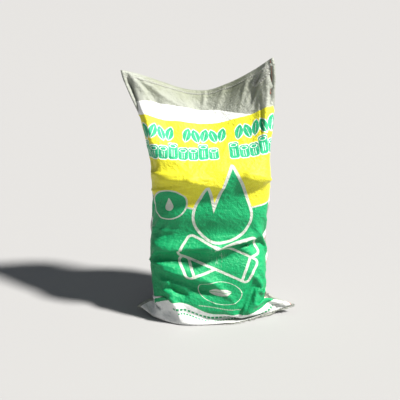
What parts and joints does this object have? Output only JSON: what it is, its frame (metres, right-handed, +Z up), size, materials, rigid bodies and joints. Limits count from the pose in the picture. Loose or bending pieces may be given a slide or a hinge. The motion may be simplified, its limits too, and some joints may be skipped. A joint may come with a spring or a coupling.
{
  "type": "sack of firewood logs",
  "caption": "Printed woven sack filled with split birch logs, sewn shut at the top and bottom, standing upright on its base.",
  "frame": {"origin": "on the floor, under the middle of the filled body", "axes": "+Z up to the sewn mouth, +Y towards the plain back; the printed front looks along -Y and +X is to its right"},
  "size_m": [0.52, 0.233, 0.787],
  "materials": {
    "woven_cloth": "woven plastic tape cloth, printed yellow, green and white on its front, semi-gloss",
    "sewing_thread": "twisted cotton thread, matte",
    "marker_thread": "coloured marker tape, matte",
    "birch_log": "split birch: papery white bark, pale split faces and ringed sawn ends, matte"
  },
  "bodies": {
    "root": {"sack": "woven_cloth", "mouth_stitching": "sewing_thread", "bottom_stitching": "sewing_thread", "log_01": "birch_log", "log_02": "birch_log", "log_03": "birch_log", "log_04": "birch_log", "log_05": "birch_log", "log_06": "birch_log", "log_07": "birch_log", "log_08": "birch_log", "log_09": "birch_log", "log_10": "birch_log", "log_11": "birch_log", "log_12": "birch_log", "log_13": "birch_log", "log_14": "birch_log", "log_15": "birch_log", "log_16": "birch_log", "log_17": "birch_log", "log_18": "birch_log", "log_19": "birch_log", "log_20": "birch_log"}
  },
  "joints": []
}
